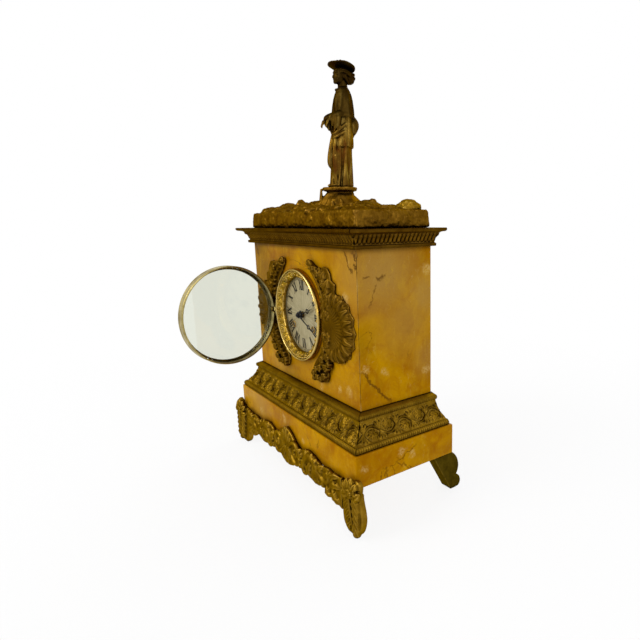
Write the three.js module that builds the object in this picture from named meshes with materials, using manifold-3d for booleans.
// Mantel clock of yellow marble with cast bronze mounts, open front bezel, round
// twin-barrel movement with bell strike, and a standing draped figure on a rocky terrace.
// Millimetres, +Z up, the dial faces -Y. Pieces are drawn about the middle of the base slab.
import * as THREE from 'three';
import { mergeVertices } from 'three/addons/utils/BufferGeometryUtils.js';
import Module from 'manifold-3d';

const wasm = await Module();
wasm.setup();

// Case sizes
const FOOT_H = 49;
const BASE_W = 300;
const BASE_D = 132;
const BASE_H = 35;
const BASE_CHAMFER = 1.2;
const DIE_W = 253;
const DIE_D = 96;
const DIE_SET_BACK = 5;
const DIE_H = 202;
const PANEL_T = 14;
const CORNICE_H = 19.5;
const CORNICE_OUT = 18;
const MOULDING_H = 36;
const MOULDING_OUT = 22;
const BACK_SHARE = 0.42;
const SEAT_GAP = 0.3;

// Terrace and figure sizes
const TERRACE_OUT = 1.5;
const TERRACE_FRONT_OUT = 2;
const TERRACE_BACK_IN = 0;
const TERRACE_EDGE_H = 20;
const TERRACE_SEAT_H = 24.5;
const TERRACE_SEAT_R = 27;
const PEDESTAL_H = 22.5;
const PEDESTAL_R = 22;
const FIGURE_H = 140;
const FIGURE_X = 4;
const FIGURE_Y = 16;

// Feet, apron and appliques
const FRONT_SPREAD = 330.2;
const FRONT_FOOT_W = 37;
const FRONT_FOOT_D = 13;
const FRONT_PROUD = 10;
const APRON_T = 8;
const BACK_FOOT_T = 16;
const BACK_FOOT_INSET = 4;
const BACK_TOE = 17;
const BACK_FOOT_TOP = 26;
const SHELL_REACH = 51;
const SHELL_T = 8;
const LEAF_T = 6;
const CAST_BEVEL = 1.4;

// Dial, surround and glazed door
const DIAL_H = 120;
const DIAL_R = 49.2;
const DIAL_T = 1.2;
const DIAL_RECESS = 3;
const WINDING_X = 24;
const WINDING_Z = -15;
const WINDING_HOLE_R = 2.9;
const MOVEMENT_HOLE_R = 52;
const SURROUND_R = 55.4;
const SURROUND_PROUD = 7;
const SURROUND_SIGHT_R = 45;
const SLEEVE_T = 1.1;
const SLEEVE_L = 16;
const DOOR_R = 59;
const DOOR_WALL = 2;
const DOOR_DEPTH = 10.6;
const DOOR_LIP = 4;
const GLASS_T = 1.8;
const HINGE_OUT = 2.6;
const HINGE_PROUD = 4;
const KNUCKLE_R = 2;
const KNUCKLE_H = 4.7;
const PIN_R = 0.9;
const DOOR_OPEN_DEG = 82;

// Hands and movement
const CLOCK_MINUTES = 139;
const MINUTE_HAND_L = 38;
const HOUR_HAND_L = 27;
const HAND_T = 0.8;
const PLATE_T = 2;
const PLATE_SPACE = 30;
const PLATE_DEPTH = 15;
const ARBOR_R = 1;
const BARREL_R = 18.5;
const BARREL_L = 17;
const BARREL_ARBOR_R = 2.2;
const RUN_GAP = 0.3;
const WHEEL_T = 1.4;
const PINION_L = 3;
const PENDULUM_L = 105;
const BOB_R = 15;
const BOB_T = 8;
const BELL_R = 30;
const BELL_DEPTH = 15;
const BELL_WALL = 1.6;
const BELL_Z = -6;
const REAR_FLANGE_R = 57;
const REAR_FLANGE_T = 3;
const REAR_DOOR_R = 55;
const REAR_DOOR_T = 2;

// Places worked out from the sizes
const dieFront = DIE_SET_BACK - DIE_D / 2;
const dieBack = DIE_SET_BACK + DIE_D / 2;
const baseTop = FOOT_H + BASE_H;
const corniceFoot = baseTop + DIE_H;
const corniceTop = corniceFoot + CORNICE_H;
const terraceW = DIE_W + 2 * TERRACE_OUT;
const terraceFront = dieFront - TERRACE_FRONT_OUT;
const terraceBack = dieBack - TERRACE_BACK_IN;
const terraceD = terraceBack - terraceFront;
const terraceMid = (terraceFront + terraceBack) / 2;
const terraceSeat = corniceTop + TERRACE_SEAT_H;
const figureFoot = terraceSeat + SEAT_GAP + PEDESTAL_H;
const dialZ = baseTop + DIAL_H;
const dialFront = dieFront + DIAL_RECESS;
const dialBack = dialFront + DIAL_T;
const surroundFront = dieFront - SURROUND_PROUD;
const plateFront = dieFront + PLATE_DEPTH;
const plateRear = plateFront + PLATE_T + PLATE_SPACE;
const hingeX = -(DOOR_R + HINGE_OUT);
const hingeY = dieFront - HINGE_PROUD;
const doorBack = dieFront - 0.6;
const doorFront = doorBack - DOOR_DEPTH;
const doorOpen = THREE.MathUtils.degToRad(DOOR_OPEN_DEG);
const doorTip = (doorFront + 1 - hingeY) * Math.cos(doorOpen);
const doorReach = hingeY - (DOOR_R - hingeX) * Math.sin(doorOpen) + doorTip;
const backToe = BASE_D / 2 + BACK_TOE;
const minuteAngle = (CLOCK_MINUTES % 60) * 6;
const hourAngle = CLOCK_MINUTES * 0.5;
const rad = THREE.MathUtils.degToRad;

// Finishes
function finish(color, roughness, metalness) {
  return new THREE.MeshStandardMaterial({ color, roughness, metalness });
}

const MARBLE = finish(0xd9982f, 0.35, 0);
const BRONZE = finish(0x6e5426, 0.5, 0.8);
const GILT = finish(0xc99a35, 0.35, 0.9);
const BRASS = finish(0xb58d45, 0.35, 0.9);
const STEEL = finish(0x4a4d55, 0.35, 0.9);
const ENAMEL = finish(0xe3decb, 0.5, 0);
const BLUED = finish(0x14161c, 0.4, 0.7);
const GLASS = finish(0xe6ece8, 0.05, 0);
GLASS.transparent = true;
GLASS.opacity = 0.35;

const clock = new THREE.Group();
// The open door reaches forward, so the origin is set under the middle of the whole outline.
clock.position.y = -(doorReach + backToe) / 2;
const movement = new THREE.Group();
movement.position.z = dialZ;
clock.add(movement);

// A closed surface becomes a solid: shared corners are welded and slivers dropped.
function solid(geometry) {
  const bare = new THREE.BufferGeometry();
  bare.setAttribute('position', geometry.getAttribute('position'));
  bare.setIndex(geometry.index);
  const welded = mergeVertices(bare, 1e-3);
  const points = welded.getAttribute('position').array;
  const corner = (i) => new THREE.Vector3().fromArray(points, i * 3);
  const source = welded.index.array;
  const faces = [];
  let volume = 0;
  for (let i = 0; i < source.length; i += 3) {
    const [a, b, c] = source.slice(i, i + 3);
    if (a === b || b === c || a === c) continue;
    faces.push(a, b, c);
    volume += corner(a).dot(corner(b).cross(corner(c)));
  }
  if (volume < 0) faces.reverse();
  const mesh = { numProp: 3, vertProperties: new Float32Array(points), triVerts: new Uint32Array(faces) };
  return new wasm.Manifold(new wasm.Mesh(mesh));
}

const join = (...shapes) => shapes.map(asSolid).reduce((whole, next) => whole.add(next));
const cut = (body, ...tools) => tools.map(asSolid).reduce((left, tool) => left.subtract(tool), asSolid(body));
const asSolid = (shape) => (shape.isBufferGeometry ? solid(shape) : shape);

// A solid goes back to a plain surface, which can be scaled, turned or mirrored.
function surface(shape) {
  const mesh = asSolid(shape).getMesh();
  const geometry = new THREE.BufferGeometry();
  geometry.setAttribute('position', new THREE.BufferAttribute(new Float32Array(mesh.vertProperties), 3));
  geometry.setIndex(new THREE.BufferAttribute(new Uint32Array(mesh.triVerts), 1));
  return geometry;
}

function piece(name, shape, material, group = clock) {
  const geometry = surface(shape);
  geometry.computeVertexNormals();
  const part = new THREE.Mesh(geometry, material);
  part.name = name;
  group.add(part);
  return part;
}

// Plain building forms
function box(x0, x1, y0, y1, z0, z1) {
  const block = new THREE.BoxGeometry(x1 - x0, y1 - y0, z1 - z0);
  return block.translate((x0 + x1) / 2, (y0 + y1) / 2, (z0 + z1) / 2);
}

function rodY(radius, y0, y1, x = 0, z = 0, sides = 12) {
  return new THREE.CylinderGeometry(radius, radius, y1 - y0, sides).translate(x, (y0 + y1) / 2, z);
}

function rodZ(radius, z0, z1, x, y, sides = 12) {
  const rod = new THREE.CylinderGeometry(radius, radius, z1 - z0, sides).rotateX(Math.PI / 2);
  return rod.translate(x, y, (z0 + z1) / 2);
}

// A turned piece about the Y axis, from [radius, y] corners.
function turned(corners, sides = 48) {
  return new THREE.LatheGeometry(corners.map(([r, y]) => new THREE.Vector2(r, y)), sides);
}

const closedTurn = (corners, sides) => turned([...corners, corners[0]], sides);

// A flat outline in x and z, thickened from y0 to y1.
function plate(shape, y0, y1, bevel = 0) {
  const options = {
    depth: y1 - y0 - 2 * bevel,
    curveSegments: 5,
    bevelEnabled: bevel > 0,
    bevelThickness: bevel,
    bevelSize: bevel,
    bevelOffset: -bevel,
    bevelSegments: 1,
  };
  return new THREE.ExtrudeGeometry(shape, options).rotateX(Math.PI / 2).translate(0, y1 - bevel, 0);
}

const spline = (points, divisions) =>
  new THREE.SplineCurve(points.map(([x, y]) => new THREE.Vector2(x, y))).getPoints(divisions);

// Points round a circle, and a hole of that form in a flat outline.
function circlePoints(x, z, r, sides) {
  return Array.from({ length: sides }, (_, i) => {
    const angle = (i * Math.PI * 2) / sides;
    return new THREE.Vector2(x + r * Math.cos(angle), z + r * Math.sin(angle));
  });
}

const circleHole = (x, z, r, sides = 8) => new THREE.Path(circlePoints(x, z, r, sides));

function reshape(geometry, move) {
  const places = geometry.getAttribute('position');
  const point = new THREE.Vector3();
  for (let i = 0; i < places.count; i++) {
    move(point.fromBufferAttribute(places, i));
    places.setXYZ(i, point.x, point.y, point.z);
  }
  return geometry;
}

const mirrorX = (geometry) => reshape(geometry.clone(), (p) => { p.x = -p.x; });

// Base slab: one block of marble with its sharp edges taken off
const baseOutline = new THREE.Shape();
baseOutline.moveTo(-BASE_W / 2, -BASE_D / 2);
baseOutline.lineTo(BASE_W / 2, -BASE_D / 2);
baseOutline.lineTo(BASE_W / 2, BASE_D / 2);
baseOutline.lineTo(-BASE_W / 2, BASE_D / 2);
const baseSlab = new THREE.ExtrudeGeometry(baseOutline, {
  depth: BASE_H - 2 * BASE_CHAMFER,
  bevelThickness: BASE_CHAMFER,
  bevelSize: BASE_CHAMFER,
  bevelOffset: -BASE_CHAMFER,
  bevelSegments: 1,
});
piece('base_slab', baseSlab.translate(0, 0, FOOT_H + BASE_CHAMFER), MARBLE);

// Die: four marble slabs mitred at the upright corners, and a top slab under the terrace
function diePanel(width, depth) {
  const plan = new THREE.Shape();
  plan.moveTo(-width / 2 + SEAT_GAP, 0);
  plan.lineTo(width / 2 - SEAT_GAP, 0);
  plan.lineTo(width / 2 - depth - SEAT_GAP, depth);
  plan.lineTo(-width / 2 + depth + SEAT_GAP, depth);
  return new THREE.ExtrudeGeometry(plan, { depth: DIE_H, bevelEnabled: false }).translate(0, 0, baseTop);
}

const movementHole = rodY(MOVEMENT_HOLE_R, -BASE_D, BASE_D, 0, dialZ, 48);
const frontPanel = diePanel(DIE_W, PANEL_T).translate(0, dieFront, 0);
const backPanel = diePanel(DIE_W, PANEL_T).rotateZ(Math.PI).translate(0, dieBack, 0);
piece('die_front', cut(frontPanel, movementHole), MARBLE);
piece('die_back', cut(backPanel, movementHole), MARBLE);
const sidePanel = diePanel(DIE_D, PANEL_T);
piece('die_right', sidePanel.clone().rotateZ(Math.PI / 2).translate(DIE_W / 2, DIE_SET_BACK, 0), MARBLE);
piece('die_left', sidePanel.rotateZ(-Math.PI / 2).translate(-DIE_W / 2, DIE_SET_BACK, 0), MARBLE);
piece('top_slab', box(-DIE_W / 2, DIE_W / 2, dieFront, dieBack, corniceFoot, corniceTop), MARBLE);

// Mouldings: a cast profile bent round the die in four mitred lengths.
// The profile is drawn outwards from the die face and upwards from its foot.
function mouldingLengths(name, profile, foot) {
  const ends = {
    front: { face: dieFront, away: -1, low: -DIE_W / 2, high: DIE_W / 2, share: 1, alongX: true },
    back: { face: dieBack, away: BACK_SHARE, low: -DIE_W / 2, high: DIE_W / 2, share: 1, alongX: true },
    left: { face: -DIE_W / 2, away: -1, low: dieFront, high: dieBack, share: BACK_SHARE, alongX: false },
    right: { face: DIE_W / 2, away: 1, low: dieFront, high: dieBack, share: BACK_SHARE, alongX: false },
  };
  for (const [side, run] of Object.entries(ends)) {
    const bar = new THREE.ExtrudeGeometry(profile, { depth: 1, bevelEnabled: false, curveSegments: 5 });
    reshape(bar, (p) => {
      const out = p.x;
      const along = p.z < 0.5 ? run.low - out + SEAT_GAP / 2 : run.high + out * run.share - SEAT_GAP / 2;
      const away = run.face + run.away * out;
      p.set(run.alongX ? along : away, run.alongX ? away : along, foot + p.y);
    });
    piece(`${name}_${side}`, bar, BRONZE);
  }
}

// Lower moulding: roll at the foot, hollow leaf frieze, small lip, weathered top
const lower = new THREE.Shape();
lower.moveTo(SEAT_GAP * 2, 0);
lower.lineTo(MOULDING_OUT * 0.97, 0);
lower.quadraticCurveTo(MOULDING_OUT * 1.04, MOULDING_H * 0.1, MOULDING_OUT * 0.9, MOULDING_H * 0.19);
lower.quadraticCurveTo(MOULDING_OUT * 0.34, MOULDING_H * 0.36, MOULDING_OUT * 0.26, MOULDING_H * 0.76);
lower.lineTo(MOULDING_OUT * 0.31, MOULDING_H * 0.78);
lower.quadraticCurveTo(MOULDING_OUT * 0.38, MOULDING_H * 0.85, MOULDING_OUT * 0.32, MOULDING_H * 0.91);
lower.lineTo(SEAT_GAP * 2, MOULDING_H);
mouldingLengths('moulding', lower, baseTop);

// Cornice: small fillet, hollow tongue band and a thin top lip
const upper = new THREE.Shape();
upper.moveTo(SEAT_GAP * 2, 0);
upper.lineTo(CORNICE_OUT * 0.32, 0);
upper.lineTo(CORNICE_OUT * 0.34, CORNICE_H * 0.17);
upper.lineTo(CORNICE_OUT * 0.24, CORNICE_H * 0.23);
upper.quadraticCurveTo(CORNICE_OUT * 0.28, CORNICE_H * 0.72, CORNICE_OUT * 0.93, CORNICE_H * 0.82);
upper.lineTo(CORNICE_OUT, CORNICE_H * 0.9);
upper.lineTo(CORNICE_OUT * 0.97, CORNICE_H);
upper.lineTo(SEAT_GAP * 2, CORNICE_H);
mouldingLengths('cornice', upper, corniceFoot);

// Terrace: a rocky casting, hollow below, with steep sides, mounds on top and a level pedestal seat
const MOUNDS = [
  { x: -58, y: 14, rise: 15, reach: 27 },
  { x: -98, y: -6, rise: 5, reach: 22 },
  { x: 44, y: 24, rise: 11, reach: 16 },
  { x: 76, y: 6, rise: 8, reach: 17 },
  { x: 112, y: 30, rise: 15, reach: 12 },
  { x: 20, y: -26, rise: 6, reach: 13 },
  { x: -26, y: -26, rise: 5, reach: 12 },
];

function terraceHeight(x, y) {
  const swell = (sum, m) => sum + m.rise * Math.exp(-((x - m.x) ** 2 + (y - m.y) ** 2) / m.reach ** 2);
  const crags = 1.3 * Math.sin(x * 0.31 + y * 0.12) * Math.cos(y * 0.37 - x * 0.07);
  const rough = MOUNDS.reduce(swell, TERRACE_EDGE_H + crags);
  const distance = Math.hypot(x - FIGURE_X, y - FIGURE_Y);
  const blend = THREE.MathUtils.smoothstep(distance, TERRACE_SEAT_R, TERRACE_SEAT_R * 1.35);
  return THREE.MathUtils.lerp(TERRACE_SEAT_H, rough, blend);
}

const terrace = new THREE.BoxGeometry(terraceW, terraceD, 1, 16, 6, 2);
reshape(terrace, (p) => {
  const level = p.z + 0.5;
  const batter = 1 - 0.02 * level + 0.008 * Math.sin(p.x * 0.21 + p.y * 0.33 + level * 5);
  const y = p.y + terraceMid;
  p.set(p.x * batter, y * batter, corniceTop + level * terraceHeight(p.x, y));
});
const seatTool = new THREE.CylinderGeometry(TERRACE_SEAT_R, TERRACE_SEAT_R, FIGURE_H, 16);
seatTool.rotateX(Math.PI / 2).translate(FIGURE_X, FIGURE_Y, terraceSeat + FIGURE_H / 2);
const castWall = 9;
const pocket = box(
  castWall - terraceW / 2, terraceW / 2 - castWall, terraceFront + castWall, terraceBack - castWall,
  corniceTop - castWall, corniceTop + TERRACE_EDGE_H - castWall,
);
piece('terrace', cut(terrace, seatTool, pocket), BRONZE);

// Pedestal: a waisted rock with an overhanging eight-sided slab
const pedestal = turned([
  [0, 0],
  [PEDESTAL_R * 1.12, 0],
  [PEDESTAL_R * 0.98, PEDESTAL_H * 0.3],
  [PEDESTAL_R * 0.78, PEDESTAL_H * 0.62],
  [PEDESTAL_R * 0.98, PEDESTAL_H * 0.86],
  [PEDESTAL_R, PEDESTAL_H],
  [0, PEDESTAL_H],
], 12).rotateX(Math.PI / 2);
piece('figure_pedestal', pedestal.translate(FIGURE_X, FIGURE_Y, terraceSeat + SEAT_GAP), BRONZE);

// Figure: a standing figure in a long folded robe, short tunic, cape and broad hat
const figureUnit = FIGURE_H / 140;

function gownLayer(corners, folds, depth, flatten) {
  const layer = turned(corners, 12).rotateX(Math.PI / 2);
  return reshape(layer, (p) => {
    const angle = Math.atan2(p.y, p.x);
    const ripple = 1 + depth * Math.cos(folds * angle + p.z * 0.05);
    p.set(p.x * ripple, p.y * ripple * flatten, p.z);
  });
}

function ball(rx, ry, rz, x, y, z) {
  return new THREE.SphereGeometry(1, 8, 6).scale(rx, ry, rz).translate(x, y, z);
}

function limb(points, radius, tip) {
  const path = new THREE.CatmullRomCurve3(points.map((p) => new THREE.Vector3(...p)));
  const section = new THREE.Shape().absarc(0, 0, radius, 0, Math.PI * 2);
  const options = { steps: 4, curveSegments: 3, bevelEnabled: false, extrudePath: path };
  return join(new THREE.ExtrudeGeometry(section, options), ball(tip, tip, tip, ...points.at(-1)));
}

const skirtLine = [[0, 0], [16, 0], [16.4, 3], [14.6, 22], [14.2, 40], [14, 54], [0, 54]];
const skirt = gownLayer(skirtLine, 6, 0.06, 0.86);
const tunic = gownLayer([[0, 46], [15.8, 47], [16, 56], [14.6, 70], [13.2, 84], [0, 84]], 7, 0.06, 0.9);
const capeLine = [[0, 78], [14.6, 79], [14, 88], [12, 98], [8, 104.5], [4.6, 107.5], [0, 108]];
const cape = gownLayer(capeLine, 5, 0.03, 0.88);
const hat = turned([
  [0, 131.5], [9, 131.2], [15.6, 133.2], [16, 134.4], [9.6, 133.6], [8, 137], [4.5, 139.2], [0, 140],
], 14).rotateX(Math.PI / 2);
const hatTilt = new THREE.Matrix4().makeRotationX(rad(5));
hat.translate(0, 0, -FIGURE_H / figureUnit).applyMatrix4(hatTilt).translate(0, 1.5, FIGURE_H / figureUnit);
const neck = rodZ(4, 104, 118, 0, 0);
const head = ball(7.4, 8.4, 10.4, 0, -0.5, 124);
const hair = ball(6.2, 5.6, 6.6, 0, 8, 121.5);
const drape = ball(9, 6.5, 12, 2, 13, 70);
const knee = ball(6, 6, 13, 5, -9.5, 31);
const nearArm = limb([[11, 1, 101], [15.5, 2, 84], [11, -13, 79], [6, -21, 70]], 3.8, 3);
const farArm = limb([[-11, 1, 101], [-15.5, 1, 84], [-11, -13, 79], [-5, -20, 73]], 3.8, 3);
const figureForms = [skirt, tunic, cape, neck, head, hair, drape, knee, hat];
const figure = surface(join(...figureForms, nearArm, farArm)).scale(figureUnit, figureUnit, figureUnit);
piece('figure', figure.translate(FIGURE_X, FIGURE_Y, figureFoot), BRONZE);

// Front apron: pierced-looking scroll casting hung on the lower front edge of the slab
const footInner = FRONT_SPREAD / 2 - FRONT_FOOT_W;
const apronEnd = footInner - SEAT_GAP;
const apronTop = [[0, 20], [12, 15], [22, 7], [34, 2], [50, 9], [69, 7], [84, 2], [97, 5], [112, 3]];
const apronFoot = [[0, -29], [12, -27], [26, -19], [45, -18], [62, -24], [76, -25], [92, -20], [110, -25]];
const apronRight = [...apronTop, [apronEnd, 6]];
const apronUnder = [...apronFoot, [apronEnd, -30]];
const flip = (points) => points.map((p) => new THREE.Vector2(-p.x, p.y)).reverse();
const topRun = spline(apronRight, 15);
const underRun = spline(apronUnder, 14);
const apronOutline = [...topRun, ...underRun.slice().reverse(), ...flip(underRun).reverse().slice(1)];
apronOutline.push(...flip(topRun).slice(0, -1));
const castBack = -BASE_D / 2 - SEAT_GAP;
const apron = plate(new THREE.Shape(apronOutline), castBack - APRON_T, castBack, CAST_BEVEL);
piece('front_apron', apron.translate(0, 0, FOOT_H), BRONZE);

// Front feet: leafy scroll feet under the slab whose top leaf laps up its front face
const footOuter = spline([
  [10, 5], [19, 10], [28, 14], [34, 9], [32, -4], [36, -18], [36.8, -29], [32, -42], [24, -49],
], 20);
const footInnerLine = spline([[10, -49], [3, -43], [0, -32], [0, 4]], 10);
const footShape = new THREE.Shape([...footOuter, ...footInnerLine].map((p) => new THREE.Vector2(
  footInner + (p.x * FRONT_FOOT_W) / 37,
  FOOT_H + (p.y < 0 ? (p.y * FOOT_H) / 49 : p.y),
)));
const footFront = -BASE_D / 2 - FRONT_PROUD;
const footBody = plate(footShape, footFront, footFront + FRONT_FOOT_D, CAST_BEVEL);
const slabRoom = box(-BASE_W, BASE_W, castBack, BASE_D, FOOT_H - SEAT_GAP, baseTop);
piece('front_foot_right', cut(footBody, slabRoom), BRONZE);
piece('front_foot_left', cut(mirrorX(footBody), slabRoom), BRONZE);

// Back feet: plain scroll brackets with flat cheeks and a toe turned outwards
const bracket = new THREE.Shape();
const slabBack = BASE_D / 2;
const bracketTop = FOOT_H - SEAT_GAP;
bracket.moveTo(slabBack - BACK_FOOT_TOP, bracketTop);
bracket.lineTo(slabBack, bracketTop);
bracket.quadraticCurveTo(slabBack + 13, FOOT_H * 0.86, slabBack + 14, FOOT_H * 0.56);
bracket.quadraticCurveTo(slabBack + 13, FOOT_H * 0.36, slabBack + 9, FOOT_H * 0.33);
bracket.quadraticCurveTo(backToe - 1, FOOT_H * 0.32, backToe, FOOT_H * 0.16);
bracket.quadraticCurveTo(backToe, 0, backToe - 7, 0);
bracket.lineTo(slabBack + 1, 0);
bracket.quadraticCurveTo(slabBack - 7, FOOT_H * 0.3, slabBack - BACK_FOOT_TOP, bracketTop);
const bracketDepth = { depth: BACK_FOOT_T, bevelEnabled: false, curveSegments: 6 };
const bracketSolid = new THREE.ExtrudeGeometry(bracket, bracketDepth);
reshape(bracketSolid, (p) => p.set(BASE_W / 2 - BACK_FOOT_INSET - p.z, p.x, p.y));
piece('back_foot_right', bracketSolid, BRONZE);
piece('back_foot_left', mirrorX(bracketSolid), BRONZE);

// Side appliques: leaf scroll above, fluted fan shell outwards, flower cluster below
const SHELL_FLUTES = 20;
const SHELL_X = 72;
const shellBack = dieFront - SEAT_GAP;
const shell = turned([[0, 0], [1, 0], [1, 0.35], [0.66, 0.9], [0, 0.7]], 40);
reshape(shell, (p) => {
  const reach = Math.hypot(p.x, p.z);
  const angle = Math.atan2(p.z, p.x);
  const lobes = reach > 0 ? Math.abs(Math.cos(angle * SHELL_FLUTES * 0.5)) : 1;
  const edge = (SHELL_REACH - 11 * (angle / 1.3) ** 2) * (0.93 + 0.07 * lobes);
  const span = Math.abs(angle) < 1.9 ? Math.max(edge, 8) : 8;
  const flute = p.y > 0.3 ? 0.72 + 0.28 * lobes : 1;
  const out = reach * span;
  p.set(SHELL_X + Math.cos(angle) * out, shellBack - p.y * SHELL_T * flute, Math.sin(angle) * out - 3);
});
const leafScroll = new THREE.Shape(spline([
  [59, 2], [60, 22], [50, 38], [37, 52], [29, 62], [32, 67], [41, 62], [49, 62], [56, 57], [65, 62], [76, 58],
  [78, 49], [88, 43], [84, 32], [90, 24], [84, 12], [74, -2], [62, -4],
], 23));
const flowers = new THREE.Shape(spline([
  [60, 0], [60, -20], [50, -36], [38, -48], [31, -58], [33, -67], [42, -72], [49, -66], [58, -70], [66, -65],
  [67, -54], [76, -48], [72, -36], [80, -26], [76, -12], [70, -2],
], 21));
const scroll = plate(leafScroll, shellBack - LEAF_T, shellBack, CAST_BEVEL);
const cluster = plate(flowers, shellBack - LEAF_T, shellBack, CAST_BEVEL);
const surroundRoom = rodY(DOOR_R + 1.2, -BASE_D, 0, 0, 0, 48);
const hingeRoom = box(DOOR_R - 3, DOOR_R + 11, -BASE_D, 0, -9.5, 9.5);
const applique = surface(cut(join(shell, scroll, cluster), surroundRoom, hingeRoom));
piece('applique_right', applique, BRONZE, movement);
piece('applique_left', mirrorX(applique), BRONZE, movement);

// Dial surround: chased ring on the front slab with a sleeve through it that carries the movement
const sleeveIn = DIAL_R + SEAT_GAP;
const sleeveOut = sleeveIn + SLEEVE_T;
const sleeveEnd = dieFront + SLEEVE_L;
const seatBack = dieFront - SEAT_GAP;
const surround = closedTurn([
  [SURROUND_SIGHT_R, dialFront - SEAT_GAP],
  [SURROUND_SIGHT_R, dialFront - 1.2],
  [SURROUND_SIGHT_R + 2, dieFront - SURROUND_PROUD * 0.35],
  [SURROUND_R * 0.9, surroundFront + SURROUND_PROUD * 0.25],
  [SURROUND_R * 0.94, surroundFront + SURROUND_PROUD * 0.2],
  [SURROUND_R * 0.97, surroundFront],
  [SURROUND_R, surroundFront + SURROUND_PROUD * 0.2],
  [SURROUND_R, seatBack],
  [sleeveOut, seatBack],
  [sleeveOut, sleeveEnd],
  [sleeveIn, sleeveEnd],
  [sleeveIn, dialFront - SEAT_GAP],
], 28);
const knuckleHalf = KNUCKLE_H / 2;
const fixedKnuckle = rodZ(KNUCKLE_R, -knuckleHalf, knuckleHalf, hingeX, hingeY, 14);
const hingeArm = box(hingeX, -SURROUND_R + 1.5, hingeY - 1.2, hingeY + 1.2, -knuckleHalf, knuckleHalf);
const pinRoom = rodZ(PIN_R + RUN_GAP / 2, -4 * KNUCKLE_H, 4 * KNUCKLE_H, hingeX, hingeY, 12);
piece('dial_surround', cut(join(surround, fixedKnuckle, hingeArm), pinRoom), GILT, movement);
const pinHalf = knuckleHalf + KNUCKLE_H + RUN_GAP;
piece('bezel_hinge_pin', rodZ(PIN_R, -pinHalf, pinHalf, hingeX, hingeY, 12), BRASS, movement);

// Glazed door: a drum-shaped brass ring with a lip that holds the glass, hung on the surround's left.
// It is drawn shut, about its hinge, and turned open as a whole.
const door = new THREE.Group();
door.position.set(hingeX, hingeY, 0);
door.rotation.z = -doorOpen;
movement.add(door);
const drumIn = DOOR_R - DOOR_WALL;
const lipBack = doorFront + 1.2;
const drum = closedTurn([
  [drumIn, doorBack],
  [DOOR_R - 0.4, doorBack],
  [DOOR_R, doorBack - 1],
  [DOOR_R, doorFront + 1],
  [DOOR_R - 1.4, doorFront],
  [DOOR_R - DOOR_LIP, doorFront],
  [DOOR_R - DOOR_LIP - 0.6, lipBack],
  [drumIn, lipBack],
], 28);
const kneeHalf = knuckleHalf + RUN_GAP;
const kneeRoom = box(hingeX - 6, -SURROUND_R + 6, hingeY - 2.6, 0, -kneeHalf, kneeHalf);
const doorKnuckles = [-1, 1].map((side) => {
  const z0 = side > 0 ? knuckleHalf + RUN_GAP : -knuckleHalf - RUN_GAP - KNUCKLE_H;
  const barrel = rodZ(KNUCKLE_R, z0, z0 + KNUCKLE_H, hingeX, hingeY, 14);
  return join(barrel, box(hingeX, -DOOR_R + 1, hingeY - 1.6, hingeY + 0.6, z0, z0 + KNUCKLE_H));
});
const doorShift = new THREE.Group();
doorShift.position.set(-hingeX, -hingeY, 0);
door.add(doorShift);
piece('bezel_door', cut(join(cut(drum, kneeRoom), ...doorKnuckles), pinRoom), BRASS, doorShift);
const glassFront = lipBack + SEAT_GAP;
const glassR = drumIn - SEAT_GAP;
const glassBack = glassFront + GLASS_T;
const glass = turned([[0, glassFront], [glassR, glassFront], [glassR, glassBack], [0, glassBack]], 28);
piece('door_glass', glass, GLASS, doorShift);

// Dial: thin disc with winding holes and three feet that stand on the movement's front plate
const dialShape = new THREE.Shape(circlePoints(0, 0, DIAL_R, 36));
const hourPipeR = 3.4;
const windingPlaces = [-WINDING_X, WINDING_X];
dialShape.holes.push(circleHole(0, 0, hourPipeR + 2 * RUN_GAP, 16));
windingPlaces.forEach((x) => dialShape.holes.push(circleHole(x, WINDING_Z, WINDING_HOLE_R, 14)));
const dialDisc = plate(dialShape, dialFront, dialBack);
const dialFeet = [0, 120, 240].map((a) => {
  const turn = rad(a + 30);
  return rodY(1.5, dialBack - DIAL_T / 2, plateFront - SEAT_GAP, 44 * Math.cos(turn), 44 * Math.sin(turn), 8);
});
piece('dial', join(dialDisc, ...dialFeet), ENAMEL, movement);

// Wheels have slim pointed teeth with free play between them.
const TOOTH_TIP = 0.8;
const TOOTH_ROOT = 1.15;
const TOOTH_FOOT = 0.36;

function toothed(teeth, module, phase, x, z, y0, y1) {
  const pitch = (teeth * module) / 2;
  const step = (Math.PI * 2) / teeth;
  const points = [];
  for (let i = 0; i < teeth; i++) {
    const middle = phase + i * step;
    const tooth = [[-TOOTH_FOOT, -TOOTH_ROOT], [0, TOOTH_TIP], [TOOTH_FOOT, -TOOTH_ROOT]];
    tooth.forEach(([turn, lift]) => {
      const r = pitch + lift * module;
      const angle = middle + turn * step;
      points.push(new THREE.Vector2(x + r * Math.cos(angle), z + r * Math.sin(angle)));
    });
  }
  return plate(new THREE.Shape(points), y0, y1);
}

// A pair in mesh: the driver has a tooth on the line of centres and the follower a gap.
const toothAt = (from, to) => Math.atan2(to.z - from.z, to.x - from.x);
const gapAt = (from, to, teeth) => toothAt(from, to) + Math.PI / teeth;

const WHEEL_TEETH = 24;
const PINION_TEETH = 6;
const THIRD_TEETH = 18;
const MINUTE_TEETH = 24;
const CANNON_TEETH = 8;
const TRAIN_MODULE = 1.2;
const MOTION_MODULE = 1.5;

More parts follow.
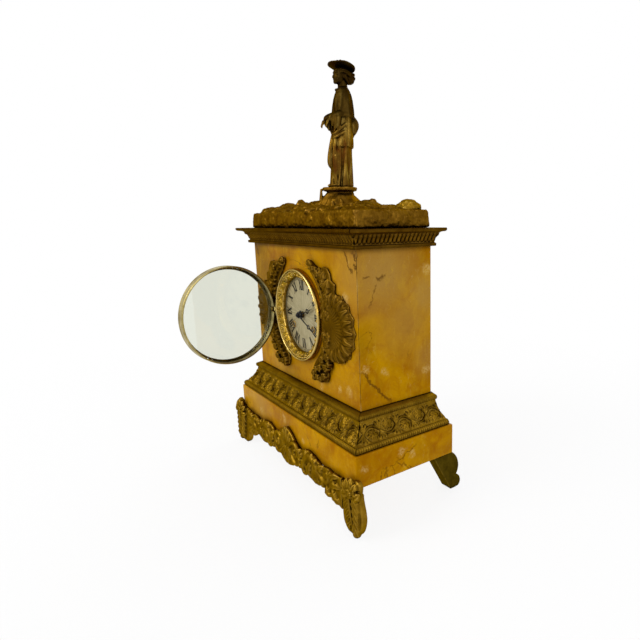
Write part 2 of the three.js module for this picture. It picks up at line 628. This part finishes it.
const centre = { x: 0, z: 0 };
const goingAxis = { x: WINDING_X, z: WINDING_Z };
const strikeAxis = { x: -WINDING_X, z: WINDING_Z };
const barrelSpan = Math.hypot(WINDING_X, WINDING_Z);
const barrelModule = (2 * barrelSpan) / (WHEEL_TEETH + PINION_TEETH);
const trainSpan = (TRAIN_MODULE * (WHEEL_TEETH + PINION_TEETH)) / 2;
const thirdSpan = (TRAIN_MODULE * (THIRD_TEETH + PINION_TEETH)) / 2;
const motionSpan = (MOTION_MODULE * (MINUTE_TEETH + CANNON_TEETH)) / 2;
const hourModule = (2 * motionSpan) / (WHEEL_TEETH + PINION_TEETH);
const polar = (from, span, degrees) => ({
  x: from.x + span * Math.cos(rad(degrees)),
  z: from.z + span * Math.sin(rad(degrees)),
});
const thirdAxis = polar(centre, trainSpan, 63.3);
const escapeAxis = polar(thirdAxis, thirdSpan, 124.2);
const anchorAxis = { x: escapeAxis.x, z: escapeAxis.z + 13 };
const minuteAxis = polar(centre, motionSpan, 90);
const strikeWheelAxis = polar(strikeAxis, barrelSpan, 100);
const flyAxis = polar(strikeWheelAxis, thirdSpan, 51.7);
const hammerAxis = polar(strikeWheelAxis, 14.6, 111.3);

// Movement plates: round brass plates on four pillars, with a pivot hole for each arbor
const pivotAxes = [thirdAxis, escapeAxis, anchorAxis, strikeWheelAxis, flyAxis, hammerAxis, centre];
const barrelAxes = [goingAxis, strikeAxis];
const pillars = [[32, 31], [-32, 31], [20, -43], [-20, -43]];

function movementPlate(y0, y1) {
  const disc = new THREE.Shape(circlePoints(0, 0, DIAL_R, 28));
  pivotAxes.forEach((a) => disc.holes.push(circleHole(a.x, a.z, ARBOR_R + 2 * RUN_GAP)));
  barrelAxes.forEach((a) => disc.holes.push(circleHole(a.x, a.z, BARREL_ARBOR_R + 2 * RUN_GAP, 8)));
  return plate(disc, y0, y1);
}

const pillarFoot = plateFront + PLATE_T / 2;
const pillarRods = pillars.map(([x, z]) => rodY(2.6, pillarFoot, plateRear - SEAT_GAP, x, z, 8));
piece('front_plate', join(movementPlate(plateFront, plateFront + PLATE_T), ...pillarRods), BRASS, movement);
piece('back_plate', movementPlate(plateRear, plateRear + PLATE_T), BRASS, movement);
const arborFront = plateFront + 0.2;
const arborRear = plateRear + PLATE_T;
const arbor = (axis, y0 = arborFront, y1 = arborRear) => rodY(ARBOR_R, y0, y1, axis.x, axis.z, 8);

// Layers between the plates
const greatY = plateFront + 9;
const strikeGreatY = greatY + BARREL_L - WHEEL_T;
const centreY = plateFront + 4.2;
const thirdY = plateFront + 19;
const escapeY = plateFront + 25;
const layer = (y) => [y, y + WHEEL_T];
const pinionLayer = (y) => [y - (PINION_L - WHEEL_T) / 2, y + WHEEL_T + (PINION_L - WHEEL_T) / 2];

// Barrels: toothed drums that run free on their winding arbors
function springBarrel(name, axis, phase, wheelY) {
  const wheel = toothed(WHEEL_TEETH, barrelModule, phase, axis.x, axis.z, ...layer(wheelY));
  const drumBody = rodY(BARREL_R, greatY + WHEEL_T / 2, greatY + BARREL_L - WHEEL_T / 2, axis.x, axis.z, 20);
  const bore = rodY(BARREL_ARBOR_R + RUN_GAP, greatY - 5, greatY + 2 * BARREL_L, axis.x, axis.z, 8);
  piece(name, cut(join(wheel, drumBody), bore), BRASS, movement);
}

springBarrel('going_barrel', goingAxis, toothAt(goingAxis, centre), greatY);
springBarrel('strike_barrel', strikeAxis, toothAt(strikeAxis, strikeWheelAxis), strikeGreatY);

// Winding arbors: square front end for the key and a ratchet wheel in front of the plate
function windingArbor(name, axis) {
  const shaft = rodY(BARREL_ARBOR_R, plateFront - 3, arborRear + 1, axis.x, axis.z, 8);
  const square = new THREE.BoxGeometry(3, plateFront - 2 - dialFront, 3);
  square.translate(axis.x, (plateFront - 2 + dialFront) / 2, axis.z);
  const ratchet = toothed(14, 1.15, 0, axis.x, axis.z, plateFront - RUN_GAP - WHEEL_T, plateFront - RUN_GAP);
  piece(name, join(shaft, square, ratchet), STEEL, movement);
}

windingArbor('going_winding_arbor', goingAxis);
windingArbor('strike_winding_arbor', strikeAxis);

// Going train
const handFront = dialFront - 7;
const centrePinion = toothed(
  PINION_TEETH, barrelModule, gapAt(centre, goingAxis, PINION_TEETH), 0, 0, ...pinionLayer(greatY),
);
const centrePhase = toothAt(centre, thirdAxis);
const centreDisc = toothed(WHEEL_TEETH, TRAIN_MODULE, centrePhase, 0, 0, ...layer(centreY));
const centreArbor = arbor(centre, handFront, arborRear);
piece('centre_wheel', join(centreArbor, centrePinion, centreDisc), BRASS, movement);

function trainWheel(name, axis, teeth, wheelPhase, wheelY, pinionMate, pinionModule, pinionY, extra = []) {
  const wheel = toothed(teeth, TRAIN_MODULE, wheelPhase, axis.x, axis.z, ...layer(wheelY));
  const phase = gapAt(axis, pinionMate, PINION_TEETH);
  const pinion = toothed(PINION_TEETH, pinionModule, phase, axis.x, axis.z, ...pinionLayer(pinionY));
  piece(name, join(arbor(axis), wheel, pinion, ...extra), BRASS, movement);
}

const thirdPhase = toothAt(thirdAxis, escapeAxis);
trainWheel('third_wheel', thirdAxis, THIRD_TEETH, thirdPhase, thirdY, centre, TRAIN_MODULE, centreY);

// Escape wheel: hooked teeth, driven by the third wheel
const ESCAPE_TEETH = 16;
const ESCAPE_R = 9;
const escapePoints = [];
for (let i = 0; i < ESCAPE_TEETH; i++) {
  const start = ((i + 0.5) * Math.PI * 2) / ESCAPE_TEETH + Math.PI / 2;
  const hook = [[0, ESCAPE_R * 0.76], [0.3, ESCAPE_R], [0.45, ESCAPE_R * 0.78]];
  hook.forEach(([turn, r]) => {
    const angle = start + (turn * Math.PI * 2) / ESCAPE_TEETH;
    const tip = new THREE.Vector2(r * Math.cos(angle), r * Math.sin(angle));
    escapePoints.push(tip.add(new THREE.Vector2(escapeAxis.x, escapeAxis.z)));
  });
}
const escapeDisc = plate(new THREE.Shape(escapePoints), ...layer(escapeY));
const escapePhase = gapAt(escapeAxis, thirdAxis, PINION_TEETH);
const escapePinion = toothed(
  PINION_TEETH, TRAIN_MODULE, escapePhase, escapeAxis.x, escapeAxis.z, ...pinionLayer(thirdY),
);
piece('escape_wheel', join(arbor(escapeAxis), escapeDisc, escapePinion), BRASS, movement);

// Anchor: two pallets over the escape wheel, and a crutch behind the back plate
const crutchY = arborRear + 2;
const anchorShape = new THREE.Shape();
const palletX = ESCAPE_R * 0.86;
const palletZ = -13 + ESCAPE_R * 0.86;
anchorShape.moveTo(-palletX - 1.2, palletZ);
anchorShape.lineTo(-palletX + 0.6, palletZ);
anchorShape.quadraticCurveTo(-palletX + 1, -2.4, 0, -1.8);
anchorShape.quadraticCurveTo(palletX - 1, -2.4, palletX - 0.6, palletZ);
anchorShape.lineTo(palletX + 1.2, palletZ);
anchorShape.quadraticCurveTo(palletX + 1.4, 1.6, 0, 2.4);
anchorShape.quadraticCurveTo(-palletX - 1.4, 1.6, -palletX - 1.2, palletZ);
const anchorBody = plate(anchorShape, ...layer(escapeY)).translate(anchorAxis.x, 0, anchorAxis.z);
const rodY0 = arborRear + 4.7;
const ROD_W = 1.6;
const crutchFoot = -24;
const crutch = box(-0.9, 0.9, crutchY, crutchY + 1.2, crutchFoot, 0).translate(anchorAxis.x, 0, anchorAxis.z);
const crutchPin = box(-0.9, 0.9, crutchY, rodY0 - RUN_GAP, crutchFoot, crutchFoot + 3);
crutchPin.translate(anchorAxis.x, 0, anchorAxis.z);
const anchorArbor = arbor(anchorAxis, arborFront, crutchY + 1.2);
piece('anchor', join(anchorArbor, anchorBody, crutch, crutchPin), STEEL, movement);

// Suspension cock and pendulum: the rod hangs on the anchor's line behind the back plate
const cockFoot = anchorAxis.z + 1.2;
const cockBlock = box(-6, 6, arborRear + SEAT_GAP, rodY0 + ROD_W + 1.5, cockFoot, cockFoot + 5);
piece('suspension_cock', cockBlock.translate(anchorAxis.x, 0, 0), BRASS, movement);
const bobZ = anchorAxis.z - PENDULUM_L;
const rodMiddle = rodY0 + ROD_W / 2;
const rodTop = cockFoot - SEAT_GAP;
const rodBar = box(-ROD_W / 2, ROD_W / 2, rodY0, rodY0 + ROD_W, bobZ + BOB_R + SEAT_GAP, rodTop);
piece('pendulum_rod', rodBar.translate(anchorAxis.x, 0, 0), STEEL, movement);
const bob = turned([
  [0, -BOB_T / 2], [BOB_R * 0.6, -BOB_T * 0.4], [BOB_R * 0.95, -BOB_T * 0.12],
  [BOB_R, 0], [BOB_R * 0.95, BOB_T * 0.12], [BOB_R * 0.6, BOB_T * 0.4], [0, BOB_T / 2],
], 20);
piece('pendulum_bob', bob.translate(anchorAxis.x, rodMiddle, bobZ), BRASS, movement);

// Strike train: wheel with lifting pins and count wheel, air fly, hammer and bell
const pinRing = [0, 72, 144, 216, 288].map((a) => {
  const at = polar(strikeWheelAxis, 7.6, a);
  return rodY(0.7, centreY + WHEEL_T / 2, centreY + WHEEL_T + 3, at.x, at.z, 5);
});
const countSeat = arbor(strikeWheelAxis, arborRear - 0.1, arborRear + RUN_GAP);
trainWheel(
  'strike_wheel', strikeWheelAxis, THIRD_TEETH, toothAt(strikeWheelAxis, flyAxis), centreY,
  strikeAxis, barrelModule, strikeGreatY, [...pinRing, countSeat],
);
const COUNT_R = 12.6;
const countShape = new THREE.Shape();
const countSteps = [2, 3, 4, 5, 6, 7, 8];
const countTotal = countSteps.reduce((sum, n) => sum + n + 1, 0);
let countAngle = 0;
const countPoints = [];
countSteps.forEach((n) => {
  const sweep = (n / countTotal) * Math.PI * 2;
  const notch = (1 / countTotal) * Math.PI * 2;
  for (let k = 0; k <= 3; k++) countPoints.push([COUNT_R, countAngle + (sweep * k) / 3]);
  countPoints.push([COUNT_R * 0.82, countAngle + sweep], [COUNT_R * 0.82, countAngle + sweep + notch]);
  countAngle += sweep + notch;
});
countShape.setFromPoints(countPoints.map(([r, a]) => new THREE.Vector2(
  strikeWheelAxis.x + r * Math.cos(a), strikeWheelAxis.z + r * Math.sin(a),
)));
const countY = arborRear + 2 * RUN_GAP;
piece('count_wheel', plate(countShape, countY, countY + WHEEL_T), BRASS, movement);

const flyPhase = gapAt(flyAxis, strikeWheelAxis, PINION_TEETH);
const flyPinion = toothed(
  PINION_TEETH, TRAIN_MODULE, flyPhase, flyAxis.x, flyAxis.z, ...pinionLayer(centreY),
);
const vane = box(-8, 8, plateFront + 10, plateFront + 22, -0.5, 0.5).translate(flyAxis.x, 0, flyAxis.z);
piece('air_fly', join(arbor(flyAxis), flyPinion, vane), BRASS, movement);

const bellFront = rodY0 + ROD_W + 4;
const bellBack = bellFront + BELL_DEPTH;
const bell = closedTurn([
  [BELL_R, bellFront],
  [BELL_R * 0.97, bellFront + BELL_DEPTH * 0.35],
  [BELL_R * 0.8, bellFront + BELL_DEPTH * 0.75],
  [BELL_R * 0.45, bellBack - 0.8],
  [3, bellBack],
  [3, bellBack - BELL_WALL],
  [BELL_R * 0.45, bellBack - BELL_WALL - 0.8],
  [BELL_R * 0.75, bellFront + BELL_DEPTH * 0.66],
  [BELL_R * 0.92, bellFront + BELL_DEPTH * 0.3],
  [BELL_R - BELL_WALL, bellFront],
], 20);
piece('bell', bell.translate(0, 0, BELL_Z), BRASS, movement);
const standX = 14;
const standZ = -40;
const standPost = rodY(2, arborRear + SEAT_GAP, bellBack + 2.4, standX, standZ, 10);
const standArm = new THREE.BoxGeometry(5, 1.8, Math.hypot(standX, BELL_Z - standZ) + 4);
standArm.rotateY(Math.atan2(-standX, BELL_Z - standZ));
standArm.translate(standX / 2, bellBack + 1.5, (standZ + BELL_Z) / 2);
const standStud = rodY(2.7, bellBack - 3, bellBack + 3.5, 0, BELL_Z, 10);
piece('bell_stand', join(standPost, standArm, standStud), BRASS, movement);

const HAMMER_HEAD_R = 3.5;
const hammerHead = { x: -BELL_R - HAMMER_HEAD_R - 0.7, z: BELL_Z };
const hammerY = bellFront + 1;
const hammerShape = new THREE.Shape();
const armLean = Math.atan2(hammerHead.x - hammerAxis.x, hammerAxis.z - hammerHead.z);
const armLength = Math.hypot(hammerHead.x - hammerAxis.x, hammerAxis.z - hammerHead.z);
hammerShape.moveTo(-1.4, 0);
hammerShape.lineTo(-0.8, -armLength);
hammerShape.lineTo(0.8, -armLength);
hammerShape.lineTo(1.4, 0);
const hammerArm = plate(hammerShape, hammerY, hammerY + 1.6).rotateY(-armLean);
hammerArm.translate(hammerAxis.x, 0, hammerAxis.z);
const hammerKnob = rodY(HAMMER_HEAD_R, hammerY - 1.5, hammerY + 3.5, hammerHead.x, hammerHead.z, 14);
const hammerHub = rodY(2.2, hammerY - 0.6, hammerY + 2.4, hammerAxis.x, hammerAxis.z, 12);
const hammerArbor = arbor(hammerAxis, arborFront, hammerY + 1);
const tailY = centreY + WHEEL_T + 0.6;
const hammerTail = box(0, 5, tailY, tailY + WHEEL_T, -0.8, 0.8);
hammerTail.rotateY(-toothAt(hammerAxis, strikeWheelAxis)).translate(hammerAxis.x, 0, hammerAxis.z);
piece('hammer', join(hammerArbor, hammerArm, hammerKnob, hammerHub, hammerTail), STEEL, movement);

// Motion work under the dial: cannon pinion, minute wheel and hour wheel, one to twelve
const motionRear = plateFront - 4.2;
const motionFront = motionRear - 3.4;
const cannonR = 2.1;
const cannonTube = rodY(cannonR, handFront + 1.6, motionRear + WHEEL_T, 0, 0, 16);
const cannonTeeth = toothed(
  CANNON_TEETH, MOTION_MODULE, gapAt(centre, minuteAxis, CANNON_TEETH), 0, 0, ...layer(motionRear),
);
const centreBore = rodY(ARBOR_R + RUN_GAP, handFront - 5, plateFront, 0, 0, 10);
piece('cannon_pinion', cut(join(cannonTube, cannonTeeth), centreBore), STEEL, movement);
const minuteDisc = toothed(
  MINUTE_TEETH, MOTION_MODULE, toothAt(minuteAxis, centre), minuteAxis.x, minuteAxis.z, ...layer(motionRear),
);
const minutePinion = toothed(
  PINION_TEETH, hourModule, gapAt(minuteAxis, centre, PINION_TEETH), minuteAxis.x, minuteAxis.z,
  motionFront - 0.6, motionRear + WHEEL_T / 2,
);
const minuteStud = rodY(1.6, motionRear, plateFront - SEAT_GAP, minuteAxis.x, minuteAxis.z, 10);
piece('minute_wheel', join(minuteDisc, minutePinion, minuteStud), BRASS, movement);
const hourDisc = toothed(WHEEL_TEETH, hourModule, toothAt(centre, minuteAxis), 0, 0, ...layer(motionFront));
const hourHandBack = dialFront - 2.4;
const hourPipe = rodY(hourPipeR, hourHandBack, motionFront + WHEEL_T, 0, 0, 16);
const pipeBore = rodY(cannonR + RUN_GAP, hourHandBack - 5, plateFront, 0, 0, 16);
piece('hour_wheel', cut(join(hourDisc, hourPipe), pipeBore), BRASS, movement);

// Hands: a tapered bar, an open moon ring and a fine point
function handShape(length, ringAt, ringR, hubR) {
  const bar = new THREE.Shape();
  bar.moveTo(-1, 0);
  bar.lineTo(-0.6, length * 0.98);
  bar.lineTo(0, length);
  bar.lineTo(0.6, length * 0.98);
  bar.lineTo(1, 0);
  const moon = new THREE.Shape(circlePoints(0, ringAt, ringR, 14));
  const hub = new THREE.Shape(circlePoints(0, 0, hubR, 16));
  const window = new THREE.Shape(circlePoints(0, ringAt + 0.4, ringR * 0.56, 10));
  return { bar, moon, hub, window };
}

function hand(name, length, ringAt, ringR, hubR, back, boreR, degrees) {
  const forms = handShape(length, ringAt, ringR, hubR);
  const front = back - HAND_T;
  const window = plate(forms.window, front - 1, back + 1);
  const body = join(...[forms.bar, forms.moon, forms.hub].map((form) => plate(form, front, back)));
  const bored = surface(cut(body, window, rodY(boreR, front - 1, back + 1, 0, 0, 12)));
  piece(name, bored.rotateY(rad(degrees)), BLUED, movement);
}

const hourRing = HOUR_HAND_L * 0.68;
hand('hour_hand', HOUR_HAND_L, hourRing, 3, 5.2, hourHandBack - RUN_GAP, cannonR + RUN_GAP, hourAngle);
const minuteHandBack = handFront + 1.6 - RUN_GAP;
const minuteRing = MINUTE_HAND_L * 0.7;
hand('minute_hand', MINUTE_HAND_L, minuteRing, 2.8, 4, minuteHandBack, ARBOR_R + RUN_GAP, minuteAngle);
const nutBack = minuteHandBack - HAND_T - RUN_GAP / 2;
const nutBore = rodY(ARBOR_R + RUN_GAP / 2, nutBack - 1.2, nutBack + 1, 0, 0, 10);
const nutTip = nutBack - 2.2;
const nut = turned([[0, nutBack], [2.6, nutBack], [2.4, nutBack - 1.4], [1.2, nutTip], [0, nutTip]], 16);
piece('hand_nut', cut(nut, nutBore), BRASS, movement);

// Rear ring, straps to the front sleeve, and the rear door on its own hinge
const rearSleeveFront = dieBack - PANEL_T;
const rearRing = closedTurn([
  [sleeveIn, rearSleeveFront], [sleeveOut, rearSleeveFront], [sleeveOut, dieBack + SEAT_GAP],
  [REAR_FLANGE_R, dieBack + SEAT_GAP], [REAR_FLANGE_R, dieBack + REAR_FLANGE_T - 0.8],
  [REAR_FLANGE_R - 1, dieBack + REAR_FLANGE_T], [sleeveIn, dieBack + REAR_FLANGE_T],
], 28);
const rearHingeX = REAR_FLANGE_R + 1.6;
const rearHingeY = dieBack + REAR_FLANGE_T + 1;
const rearFixed = rodZ(1.6, -knuckleHalf, knuckleHalf, rearHingeX, rearHingeY, 12);
const rearArm = box(REAR_FLANGE_R - 1, rearHingeX, dieBack + SEAT_GAP, rearHingeY, -knuckleHalf, knuckleHalf);
const rearPinRoom = rodZ(PIN_R + RUN_GAP / 2, -4 * KNUCKLE_H, 4 * KNUCKLE_H, rearHingeX, rearHingeY, 12);
piece('rear_ring', cut(join(rearRing, rearFixed, rearArm), rearPinRoom), BRASS, movement);
const strapFront = sleeveEnd + SEAT_GAP;
const strapBack = rearSleeveFront - SEAT_GAP;
const strapBar = box(sleeveIn + 0.2, sleeveOut + 0.3, strapFront, strapBack, -5, 5);
piece('strap_right', strapBar, BRASS, movement);
piece('strap_left', mirrorX(strapBar), BRASS, movement);
const rearDoorFront = dieBack + REAR_FLANGE_T + SEAT_GAP;
const rearDisc = turned([
  [0, rearDoorFront], [REAR_DOOR_R, rearDoorFront], [REAR_DOOR_R, rearDoorFront + REAR_DOOR_T * 0.6],
  [REAR_DOOR_R - 2, rearDoorFront + REAR_DOOR_T], [0, rearDoorFront + REAR_DOOR_T],
], 28);
const rearKnuckles = [-1, 1].map((side) => {
  const z0 = side > 0 ? knuckleHalf + RUN_GAP : -knuckleHalf - RUN_GAP - KNUCKLE_H;
  const barrel = rodZ(1.6, z0, z0 + KNUCKLE_H, rearHingeX, rearHingeY, 12);
  return join(barrel, box(REAR_DOOR_R - 2, rearHingeX, rearDoorFront, rearHingeY + 0.8, z0, z0 + KNUCKLE_H));
});
piece('rear_door', cut(join(rearDisc, ...rearKnuckles), rearPinRoom), BRASS, movement);
piece('rear_hinge_pin', rodZ(PIN_R, -pinHalf, pinHalf, rearHingeX, rearHingeY, 12), BRASS, movement);

export default clock;
